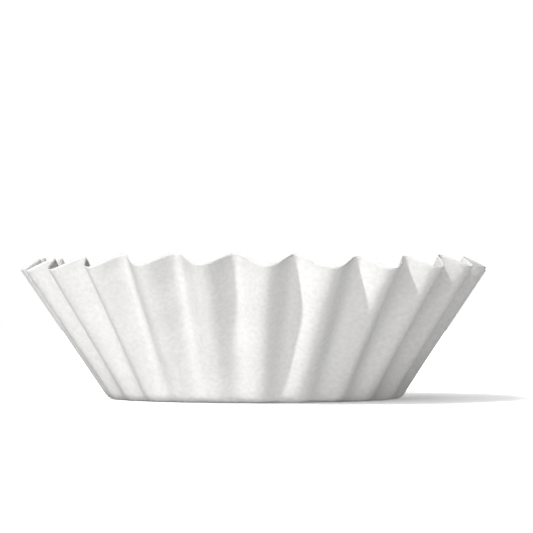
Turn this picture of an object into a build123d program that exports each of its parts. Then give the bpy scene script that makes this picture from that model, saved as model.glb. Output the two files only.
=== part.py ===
"""Basket coffee filter: one round sheet of paper pressed into a fluted bowl.

The sheet keeps its flat disc as the floor of the bowl.  Outside the floor's
corner it stands up as a wall of radial flutes: rounded crests that face
outwards and sharper folds that face inwards.  The flutes are shallow at the
corner and deepen towards the rim, which takes up the sheet's spare length.

Millimetres, +Z up.  The origin is on the floor, under the middle of the bowl.
"""

import os
from math import atan2, cos, hypot, pi, radians, sin, tan

from build123d import *

# The sheet
sheet_diameter = 247.6          # the round blank, a nominal 9 3/4 in
paper = 0.15                    # thickness of the paper

# The bowl
base_radius = 60.2              # where the wall's crests would meet the floor
corner_radius = 5.0             # rounding between floor and wall, outside
crest_lean = radians(34.4)      # outward lean of the crests from upright
fold_lean = radians(27.4)       # outward lean of the folds from upright

# The flutes
flutes = 24
first_fold = radians(-94.0)     # direction of the first fold, from +X
base_depth = 1.6                # crest to fold, across the corner of the floor
crest_round_base = 12.0         # rounding of a crest, at the corner
crest_round_top = 5.0           # and at the top of the drawn wall
fold_round_base = 6.0           # rounding of a fold, at the corner
fold_round_top = 2.5            # and at the top of the drawn wall
sway = radians(1.2)             # the flutes bunch and spread, by this much
sway_waves = 2                  # in this many waves round the bowl
sway_start = radians(-109)      # starting here
drift = radians(0.6)            # small groups of flutes stand aside, by this much
drift_waves = 5                 # in more waves
drift_start = radians(26)       # starting here
shuffle = radians(0.35)         # neighbouring flutes differ too, by this much
shuffle_waves = 9               # in shorter waves
shuffle_start = radians(150)    # starting here
rounded_share = 0.75            # at most this much of a flank is rounded

# Worked out from the sizes above
slant = sheet_diameter / 2 - base_radius        # wall, along the paper
drawn_height = slant                            # the wall is drawn past its rim
drawn_below = corner_radius / 2                 # and a little below its corner
pitch = 2 * pi / flutes

# The rounded corner is cut by a cone that opens a little faster than the
# crests and crosses them just above the corner.
relief = radians(5)
crossing_height = 0.6 * corner_radius
cone_lean = crest_lean + relief
cone_base = base_radius + crossing_height * (tan(crest_lean) - tan(cone_lean))


def fold_direction(number):
    """Direction of a fold: an even spacing, with three small waves on it."""
    even = number * pitch
    bunching = sway * sin(sway_waves * even + sway_start)
    standing_aside = drift * sin(drift_waves * even + drift_start)
    difference = shuffle * sin(shuffle_waves * even + shuffle_start)
    return first_fold + even + bunching + standing_aside + difference


def sharp_radii(crest, fold, crest_round, fold_round):
    """Radii of the sharp corners that, once rounded, reach crest and fold.

    The third result shrinks both roundings where the flank is too short for them.
    """
    crest_corner = crest
    fold_corner = fold
    half = pitch / 2
    for _ in range(6):
        across = fold_corner * sin(half)
        drop = crest_corner - fold_corner * cos(half)
        crest_turn = atan2(drop, across)
        fold_turn = crest_turn - half
        rounded = crest_round * tan(crest_turn) + fold_round * tan(fold_turn)
        fit = min(1, rounded_share * hypot(across, drop) / rounded)
        crest_corner = crest + fit * crest_round * (1 / cos(crest_turn) - 1)
        fold_corner = fold - fit * fold_round * (1 / cos(fold_turn) - 1)
    return crest_corner, fold_corner, fit


def flute_section(height, inset):
    """The fluted outline at one height, moved inwards by inset."""
    along = height / drawn_height
    crest = base_radius + height * tan(crest_lean)
    fold = base_radius - base_depth + height * tan(fold_lean)
    crest_round = crest_round_base + along * (crest_round_top - crest_round_base)
    fold_round = fold_round_base + along * (fold_round_top - fold_round_base)
    crest_corner, fold_corner, fit = sharp_radii(crest, fold, crest_round, fold_round)
    corners = []
    for number in range(flutes):
        here = fold_direction(number)
        between = (here + fold_direction(number + 1)) / 2
        corners.append((fold_corner * cos(here), fold_corner * sin(here)))
        corners.append((crest_corner * cos(between), crest_corner * sin(between)))
    with BuildSketch(Plane.XY.offset(height)) as section:
        with BuildLine():
            roundings = [fit * fold_round, fit * crest_round]
            FilletPolyline(*corners, radius=roundings * flutes, close=True)
        make_face()
        if inset:
            offset(amount=-inset, kind=Kind.ARC)
    return section.sketch


def pressed_form(skin):
    """The solid inside one face of the paper: skin is 0 outside, paper inside."""
    wall_inset = skin / cos((crest_lean + fold_lean) / 2)
    low = flute_section(-drawn_below, wall_inset)
    high = flute_section(drawn_height, wall_inset)
    cone_floor = cone_base - skin / cos(cone_lean) + skin * tan(cone_lean)
    cone_height = drawn_height + corner_radius
    cone_rim = cone_floor + (cone_height - skin) * tan(cone_lean)
    with BuildPart() as form:
        loft(sections=[low, high], ruled=True)
        with BuildSketch(Plane.XZ) as bowl_profile:
            with BuildLine():
                corner = FilletPolyline(
                    (0, skin),
                    (cone_floor, skin),
                    (cone_rim, cone_height),
                    radius=corner_radius - skin,
                )
                Polyline(corner @ 1, (0, cone_height), corner @ 0)
            make_face()
        revolve(axis=Axis.Z, mode=Mode.INTERSECT)
    return form.part


outside_form = pressed_form(0)
inside_form = pressed_form(paper)

with BuildPart() as filter_paper:
    add(outside_form)
    add(inside_form, mode=Mode.SUBTRACT)
    # The blank is cut round, so every point of the rim is one slant away
    # from the corner of the floor, and the rim rises at each fold.
    with BuildSketch(Plane.XZ) as rim_profile:
        with BuildLine():
            rim = CenterArc((base_radius, 0), slant, 0, 90)
            Polyline(rim @ 1, (0, slant), (0, 0), rim @ 0)
        make_face()
    revolve(axis=Axis.Z, mode=Mode.INTERSECT)

filter_paper.part.label = "filter_paper"

os.makedirs("parts", exist_ok=True)
export_step(filter_paper.part, "parts/filter_paper.step")
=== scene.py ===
"""Looks of the basket coffee filter: one round sheet of bleached crepe filter paper.

The sheet is worked out as one surface of two parameters: the direction round the
bowl, counted in flutes, and the distance from the middle of the sheet, measured
along the paper.  Metres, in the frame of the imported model: +Z up, -Y the front.
"""
import math

import bpy
import numpy as np
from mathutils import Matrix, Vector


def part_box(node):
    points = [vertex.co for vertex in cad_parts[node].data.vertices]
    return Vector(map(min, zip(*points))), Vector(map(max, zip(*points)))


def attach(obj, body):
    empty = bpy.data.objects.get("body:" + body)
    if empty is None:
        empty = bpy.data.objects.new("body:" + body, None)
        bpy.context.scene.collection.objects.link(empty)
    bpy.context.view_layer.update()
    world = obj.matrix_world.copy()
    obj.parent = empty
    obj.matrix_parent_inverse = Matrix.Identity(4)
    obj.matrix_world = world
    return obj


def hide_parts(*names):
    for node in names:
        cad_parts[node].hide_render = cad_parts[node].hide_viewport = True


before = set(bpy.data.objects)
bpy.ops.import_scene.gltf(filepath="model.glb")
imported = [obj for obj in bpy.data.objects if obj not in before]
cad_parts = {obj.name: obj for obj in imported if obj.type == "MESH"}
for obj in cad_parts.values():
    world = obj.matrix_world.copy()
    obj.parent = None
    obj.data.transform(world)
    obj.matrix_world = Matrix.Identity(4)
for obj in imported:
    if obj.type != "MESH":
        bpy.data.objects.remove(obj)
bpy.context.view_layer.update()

MM = 0.001
rim_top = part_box("filter_paper")[1][2]

# ---------------------------------------------------------------- sizes

# Driving sizes, the same as the solid's
PAPER = 0.15 * MM
BASE_RADIUS = 60.2 * MM              # where the wall's crests would meet the floor
CORNER_RADIUS = 5.0 * MM             # rounding between floor and wall
CREST_LEAN = math.radians(34.4)      # outward lean of the crests from upright
FOLD_LEAN = math.radians(27.4)       # outward lean of the folds from upright
FLUTES = 24
FIRST_FOLD = math.radians(-94.0)     # direction of the first fold, from +X
BASE_DEPTH = 1.6 * MM                # crest to fold, at the corner of the floor

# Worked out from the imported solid's box, whose top is the rim at a fold
SLANT = (rim_top - PAPER) / math.cos(FOLD_LEAN) - BASE_DEPTH * math.sin(FOLD_LEAN)
SHEET_RADIUS = BASE_RADIUS + SLANT
SHEET_DIAMETER = 2 * SHEET_RADIUS
FLUTE_ANGLE = 2 * math.pi / FLUTES

# Unevenness of a hand pressed bowl, as waves round it: how far it goes in degrees, how
# many waves there are, and where they start in degrees
SWAY = (1.2, 2, -109)                # the flutes bunch and spread
DRIFT = (0.6, 5, 26)                 # small groups of flutes stand aside
SHUFFLE = (0.35, 9, 150)             # neighbouring flutes differ too
# The lean of the crests, and how much less the folds lean
LEAN_WAVES = ((0.57, 1, 0), (0.80, 2, 168), (0.64, 3, 0), (1.07, 4, -26))
DEPTH_WAVES = ((0.5, 9, 268), (0.45, 8, 47))
TWIST = math.radians(0.9)            # the rim has turned this far against the floor

# How much of the way from fold to crest is rounded, at the floor and at the rim
FOLD_WIDTH_LOW = 0.50
FOLD_WIDTH_RIM = 0.24
CREST_WIDTH_LOW = 0.36
CREST_WIDTH_RIM = 0.42

# The grid
COLUMNS_PER_FLUTE = 24
CROWDING = 0.45                      # columns stand this share closer in the folds
CORNER_BAND = 6.0 * MM               # reach of the corner's rows, inwards and outwards
FLOOR_ROWS = 8
CORNER_ROWS = 8
WALL_ROWS = 60

# The paper's finish
PAPER_THICK = "#F4F4F3"              # where the fibres lie thick
PAPER_THIN = "#EDECEB"               # where they lie thin
THIN_UP_TO = 0.32                    # of the clouds' strength
THICK_FROM = 0.66
TRANSLUCENCE = 0.15                  # share of the light that goes through
ROUGHNESS = 0.95
FIBRE_IOR = 1.47                     # of cellulose
GLOSS = 0.1                          # open fibre has hardly any
CLOUD = 1.8 * MM                     # width of a clot of fibres
CREPE_WIDTH = 0.7 * MM               # from one crepe ridge to the next
CREPE_LENGTH = 14.0 * MM             # along a ridge
CREPE_HEIGHT = 0.035 * MM
COCKLE = 12.0 * MM                   # across a shallow dent that handling leaves
COCKLE_HEIGHT = 0.6 * MM
FIBRE = 0.5 * MM                     # a tangle of fibres, drawn coarse enough to show
FIBRE_HEIGHT = 0.01 * MM

# The studio
FLOOR_REACH = 6.0                    # half the floor's width
LAMINATE = "#F7F7F7"
TABLE_GLOW = 0.24                    # light of its own, which keeps the shadow pale
CARD_DROP = 0.1 * MM                 # the card lies this far under the floor
CARD_GLOW = 0.12
CAMERA_AWAY = 1.0                    # in front of the filter's middle
CAMERA_HEIGHT = 32.16 * MM
CAMERA_FILM = 36.0                   # millimetres wide
CAMERA_LENS = 164.2                  # millimetres
CAMERA_PITCH = 1.258                 # degrees above level
CAMERA_TURN = -0.264                 # degrees, to the right
PRINT_CONTRAST = 0.77                # below 1 darkens the greys, and white stays


def place(made):
    """Puts an object into the scene."""
    bpy.context.scene.collection.objects.link(made)
    return made


# ---------------------------------------------------------------- the sheet

def waves(angle, *parts):
    """The sum of sines round the bowl, one for each (amount, count, start)."""
    return sum(math.radians(amount) * np.sin(count * angle + math.radians(start))
               for amount, count, start in parts)


def fold_direction(number):
    """Direction of a fold: an even spacing with three small waves on it."""
    even = number * FLUTE_ANGLE
    return FIRST_FOLD + even + waves(even, SWAY, DRIFT, SHUFFLE)


def crest_lean_at(direction):
    """Lean of the crests, more in some places than in others, counted from the front."""
    from_front = direction + math.pi / 2
    return CREST_LEAN + waves(from_front, *LEAN_WAVES)


def fold_depth_at(number):
    """How much less a fold leans than the crests beside it, different in each."""
    return CREST_LEAN - FOLD_LEAN + waves(number * FLUTE_ANGLE, *DEPTH_WAVES)


def rounded_zigzag(across, fold_width, crest_width):
    """Height of a flute, 0 in the fold and 1 on the crest.

    `across` runs from 0 in the fold to 1 on the crest.  The flank is straight;
    within fold_width and crest_width of its ends it turns into a parabola.
    """
    steep = 1 / (1 - (fold_width + crest_width) / 2)
    in_fold = steep * across**2 / (2 * fold_width)
    on_flank = steep * (across - fold_width / 2)
    on_crest = 1 - steep * (1 - across)**2 / (2 * crest_width)
    return np.where(across < fold_width, in_fold,
                    np.where(across > 1 - crest_width, on_crest, on_flank))


def sheet_points(flute, distance):
    """Places on the middle of the paper.

    `flute` counts flutes from the first fold, and `distance` is measured along
    the paper from the sheet's middle.  A line up the wall starts flat on the
    floor, turns through the corner's arc and then leans outwards, less in a
    fold than on a crest.  Its end lies one slant from the floor's corner circle,
    as the edge of a round sheet does.  Flutes open as the paper climbs.
    """
    climb = np.clip((distance - BASE_RADIUS) / SLANT, 0, 1)
    whole = np.floor(flute)
    part = flute - whole
    here = fold_direction(whole)
    direction = here + part * (fold_direction(whole + 1) - here)
    direction = direction + TWIST * (climb - 1)

    across = 1 - np.abs(2 * part - 1)
    fold_width = FOLD_WIDTH_LOW + (FOLD_WIDTH_RIM - FOLD_WIDTH_LOW) * np.sqrt(climb)
    crest_width = CREST_WIDTH_LOW + (CREST_WIDTH_RIM - CREST_WIDTH_LOW) * climb
    ridge = rounded_zigzag(across, fold_width, crest_width)
    lean = crest_lean_at(direction) - (1 - ridge) * fold_depth_at(np.round(flute))

    inset = BASE_DEPTH * (1 - ridge)
    turn = math.pi / 2 - lean
    tangent = CORNER_RADIUS * np.tan(turn / 2)
    floor_end = BASE_RADIUS - inset - tangent
    wall_start = floor_end + CORNER_RADIUS * turn
    wall = (inset * np.sin(lean) + np.sqrt(SLANT**2 - (inset * np.cos(lean))**2)) - tangent
    on_arc = np.clip((distance - floor_end) / CORNER_RADIUS, 0, turn)
    on_wall = wall * np.maximum(distance - wall_start, 0) / (SHEET_RADIUS - wall_start)
    radius = (np.minimum(distance, floor_end) + CORNER_RADIUS * np.sin(on_arc)
              + on_wall * np.sin(lean))
    height = CORNER_RADIUS * (1 - np.cos(on_arc)) + on_wall * np.cos(lean)
    return np.stack([radius * np.cos(direction), radius * np.sin(direction),
                     height + PAPER / 2], axis=-1)


def sheet_grid():
    """Parameters of the grid: columns crowd in the folds, and the flat floor has few rows."""
    even = np.arange(FLUTES * COLUMNS_PER_FLUTE) / COLUMNS_PER_FLUTE
    flute = even - CROWDING * np.sin(2 * math.pi * even) / (2 * math.pi)
    corner_start = BASE_RADIUS - CORNER_BAND
    corner_end = BASE_RADIUS + CORNER_BAND
    distance = np.concatenate([
        np.linspace(0, corner_start, FLOOR_ROWS + 1)[1:],
        np.linspace(corner_start, corner_end, CORNER_ROWS + 1)[1:],
        np.linspace(corner_end, SHEET_RADIUS, WALL_ROWS + 1)[1:],
    ])
    return flute, distance


def make_sheet():
    """The paper as one mesh: a grid round the bowl, closed at its middle."""
    flute, distance = sheet_grid()
    rows, columns = len(distance), len(flute)
    points = sheet_points(flute[None, :], distance[:, None]).reshape(-1, 3)
    middle = np.array([[0.0, 0.0, PAPER / 2]])
    verts = np.concatenate([middle, points])

    # The corners of a face follow each other so that it points out of the bowl
    row, column = np.meshgrid(np.arange(rows - 1), np.arange(columns), indexing="ij")
    after = (column + 1) % columns
    inner = 1 + row * columns
    outer = inner + columns
    quads = np.stack([outer + column, outer + after, inner + after, inner + column], axis=-1)
    ring = np.arange(columns)
    fan = np.stack([1 + ring, 1 + (ring + 1) % columns, np.zeros(columns, int)], axis=-1)
    faces = fan.tolist() + quads.reshape(-1, 4).tolist()
    mesh = bpy.data.meshes.new("filter_sheet")
    mesh.from_pydata(verts.tolist(), [], faces)
    mesh.polygons.foreach_set("use_smooth", np.ones(len(mesh.polygons), bool))

    # Where each point lies on the flat sheet, for the paper's pattern
    flat_direction = flute[None, :] * FLUTE_ANGLE + FIRST_FOLD
    flat = np.stack([distance[:, None] * np.cos(flat_direction),
                     distance[:, None] * np.sin(flat_direction)], axis=-1)
    flat = np.concatenate([[[0.0, 0.0]], flat.reshape(-1, 2)])
    loop_vertex = np.empty(len(mesh.loops), np.int32)
    mesh.loops.foreach_get("vertex_index", loop_vertex)
    cut = mesh.uv_layers.new(name="flat_sheet")
    cut.data.foreach_set("uv", (0.5 + flat[loop_vertex] / SHEET_DIAMETER).ravel())
    mesh.update()
    sheet = place(bpy.data.objects.new("filter_sheet", mesh))
    thickness = sheet.modifiers.new("paper", "SOLIDIFY")
    thickness.thickness = PAPER
    thickness.offset = 0
    return sheet


# ---------------------------------------------------------------- finishes

def srgb(code):
    """A hex colour as the linear values that Blender's sockets take."""
    parts = [int(code[i:i + 2], 16) / 255 for i in (1, 3, 5)]
    linear = [c / 12.92 if c <= 0.04045 else ((c + 0.055) / 1.055)**2.4 for c in parts]
    return (*linear, 1.0)


def node(tree, kind, links=(), **settings):
    """Adds a node, sets its properties and sockets, and links its inputs."""
    made = tree.nodes.new(kind)
    for name, value in settings.items():
        if hasattr(made, name):
            setattr(made, name, value)
        else:
            made.inputs[name.replace("_", " ")].default_value = value
    for socket, source in dict(links).items():
        tree.links.new(source, made.inputs[socket])
    return made


def bleached_filter_paper():
    """Bleached crepe filter paper, felted wet and scraped off its drying cylinder.

    Loose fibre scatters nearly all the light and has no gloss, and a thin sheet
    lets part of it through, so the hollow side of a flute glows softly.  The
    fibres clot into faint clouds about two millimetres across, thin where the sheet
    looks darker.  Creping leaves short fine ridges, all in one direction of the
    flat sheet, so they lie level at the front and climb the wall at the sides.
    Pressing and handling leave wide shallow dents that shade the flanks unevenly.
    """
    material = bpy.data.materials.new("bleached_crepe_filter_paper")
    material.use_nodes = True
    tree = material.node_tree
    tree.nodes.clear()
    flat = node(tree, "ShaderNodeUVMap", uv_map="flat_sheet").outputs["UV"]

    clouds = node(tree, "ShaderNodeTexNoise", {"Vector": flat}, Detail=3.0,
                  Scale=SHEET_DIAMETER / CLOUD, Roughness=0.6)
    tint = node(tree, "ShaderNodeValToRGB", {"Fac": clouds.outputs["Fac"]})
    tint.color_ramp.elements[0].position = THIN_UP_TO
    tint.color_ramp.elements[0].color = srgb(PAPER_THIN)
    tint.color_ramp.elements[1].position = THICK_FROM
    tint.color_ramp.elements[1].color = srgb(PAPER_THICK)

    along = node(tree, "ShaderNodeMapping", {"Vector": flat},
                 Scale=(SHEET_DIAMETER / CREPE_LENGTH, SHEET_DIAMETER / CREPE_WIDTH, 1))
    crepe = node(tree, "ShaderNodeTexNoise", {"Vector": along.outputs[0]}, Detail=2.0,
                 Scale=1.0, Roughness=0.5)
    cockle = node(tree, "ShaderNodeTexNoise", {"Vector": flat}, Detail=1.0,
                  Scale=SHEET_DIAMETER / COCKLE, Roughness=0.4)
    dents = node(tree, "ShaderNodeBump", {"Height": cockle.outputs["Fac"]},
                 Distance=COCKLE_HEIGHT, Strength=1.0)
    ridges = node(tree, "ShaderNodeBump", {"Height": crepe.outputs["Fac"],
                                           "Normal": dents.outputs[0]},
                  Distance=CREPE_HEIGHT, Strength=1.0)
    fibres = node(tree, "ShaderNodeTexNoise", {"Vector": flat}, Detail=4.0,
                  Scale=SHEET_DIAMETER / FIBRE, Roughness=0.65)
    surface = node(tree, "ShaderNodeBump", {"Height": fibres.outputs["Fac"],
                                            "Normal": ridges.outputs[0]},
                   Distance=FIBRE_HEIGHT, Strength=1.0)

    front = node(tree, "ShaderNodeBsdfPrincipled",
                 {"Base Color": tint.outputs[0], "Normal": surface.outputs[0]},
                 Roughness=ROUGHNESS, IOR=FIBRE_IOR, Specular_IOR_Level=GLOSS)
    through = node(tree, "ShaderNodeBsdfTranslucent",
                   {"Color": tint.outputs[0], "Normal": surface.outputs[0]})
    paper = node(tree, "ShaderNodeMixShader", {1: front.outputs[0], 2: through.outputs[0]},
                 Fac=TRANSLUCENCE)
    node(tree, "ShaderNodeOutputMaterial", {"Surface": paper.outputs[0]})
    return material


def white_table(glow):
    """Melamine laminate, pressed against a matt plate: even and white, without gloss.

    `glow` is light of its own, which stands for the light of a white room.
    """
    material = bpy.data.materials.new("white_matt_laminate")
    material.use_nodes = True
    tree = material.node_tree
    tree.nodes.clear()
    top = node(tree, "ShaderNodeBsdfDiffuse", Color=srgb(LAMINATE))
    room = node(tree, "ShaderNodeEmission", Color=(1, 1, 1, 1), Strength=glow)
    both = node(tree, "ShaderNodeAddShader", {0: top.outputs[0], 1: room.outputs[0]})
    node(tree, "ShaderNodeOutputMaterial", {"Surface": both.outputs[0]})
    return material


# ---------------------------------------------------------------- the studio

def make_floor(name, height, glow):
    """A plain flat floor, far wider than the view."""
    mesh = bpy.data.meshes.new(name)
    corners = [(-FLOOR_REACH, -FLOOR_REACH, height), (FLOOR_REACH, -FLOOR_REACH, height),
               (FLOOR_REACH, FLOOR_REACH, height), (-FLOOR_REACH, FLOOR_REACH, height)]
    mesh.from_pydata(corners, [], [(0, 1, 2, 3)])
    mesh.materials.append(white_table(glow))
    floor = place(bpy.data.objects.new(name, mesh))
    return floor


def make_table():
    """The floor that the camera sees, which lights nothing, and a card just under it.

    The card is out of the camera's sight and throws soft light up at the leaning wall.
    """
    table = make_floor("table", 0.0, TABLE_GLOW)
    table.visible_diffuse = False
    table.visible_glossy = False
    table.visible_transmission = False
    table.visible_shadow = False
    card = make_floor("bounce_card", -CARD_DROP, CARD_GLOW)
    card.visible_camera = False
    return table, card


def make_camera():
    """A level view from the front, with the eye a little above the filter's middle."""
    data = bpy.data.cameras.new("camera")
    data.sensor_width = CAMERA_FILM
    data.lens = CAMERA_LENS
    camera = place(bpy.data.objects.new("camera", data))
    camera.location = (0.0, -CAMERA_AWAY, CAMERA_HEIGHT)
    camera.rotation_euler = (math.radians(90 + CAMERA_PITCH), 0, math.radians(CAMERA_TURN))
    bpy.context.scene.camera = camera


def make_sun(name, energy, spread, turn, rise, lit):
    """Light from far off that falls on the objects in `lit` alone.

    `energy` is in watts per square metre.  `spread` is its width, `turn` its direction
    to the right of the front, and `rise` its height above the floor, all in degrees.
    """
    data = bpy.data.lights.new(name, "SUN")
    data.energy = energy
    data.angle = math.radians(spread)
    sun = place(bpy.data.objects.new(name, data))
    sun.rotation_euler = (math.radians(90 - rise), 0, math.radians(turn))
    receivers = bpy.data.collections.new("lit_by_" + name)
    for receiver in lit:
        receivers.objects.link(receiver)
    sun.light_linking.receiver_collection = receivers


def make_room():
    """A room that gives no light of its own, and a white wall behind the filter."""
    world = bpy.data.worlds.new("studio")
    world.use_nodes = True
    tree = world.node_tree
    tree.nodes.clear()
    dark = node(tree, "ShaderNodeBackground", Color=(0, 0, 0, 1), Strength=1.0)
    wall = node(tree, "ShaderNodeBackground", Color=(1, 1, 1, 1), Strength=1.0)
    seen = node(tree, "ShaderNodeLightPath")
    shown = node(tree, "ShaderNodeMixShader", {0: seen.outputs["Is Camera Ray"],
                                               1: dark.outputs[0], 2: wall.outputs[0]})
    node(tree, "ShaderNodeOutputWorld", {"Surface": shown.outputs[0]})
    bpy.context.scene.world = world


# ---------------------------------------------------------------- the making

sheet = make_sheet()
sheet.data.materials.append(bleached_filter_paper())
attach(sheet, "root")
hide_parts("filter_paper")

table, card = make_table()
make_camera()
make_room()
make_sun("key", energy=2.7, spread=2, turn=-32, rise=42, lit=[sheet])
make_sun("low_front_fill", energy=1.8, spread=50, turn=-10, rise=5, lit=[sheet])
make_sun("right_fill", energy=0.2, spread=40, turn=60, rise=10, lit=[sheet])
make_sun("back_fill", energy=2.2, spread=50, turn=172, rise=8, lit=[sheet])
make_sun("overhead_fill", energy=0.35, spread=50, turn=0, rise=89, lit=[sheet])
make_sun("card_key", energy=0.85, spread=2, turn=-32, rise=42, lit=[card])
make_sun("card_dome", energy=1.65, spread=90, turn=0, rise=89, lit=[card])
make_sun("table_key", energy=5.0, spread=24, turn=-76, rise=60, lit=[table])
make_sun("table_dome", energy=2.2, spread=90, turn=0, rise=89, lit=[table])
bpy.context.scene.view_settings.view_transform = "Standard"
bpy.context.scene.view_settings.gamma = PRINT_CONTRAST
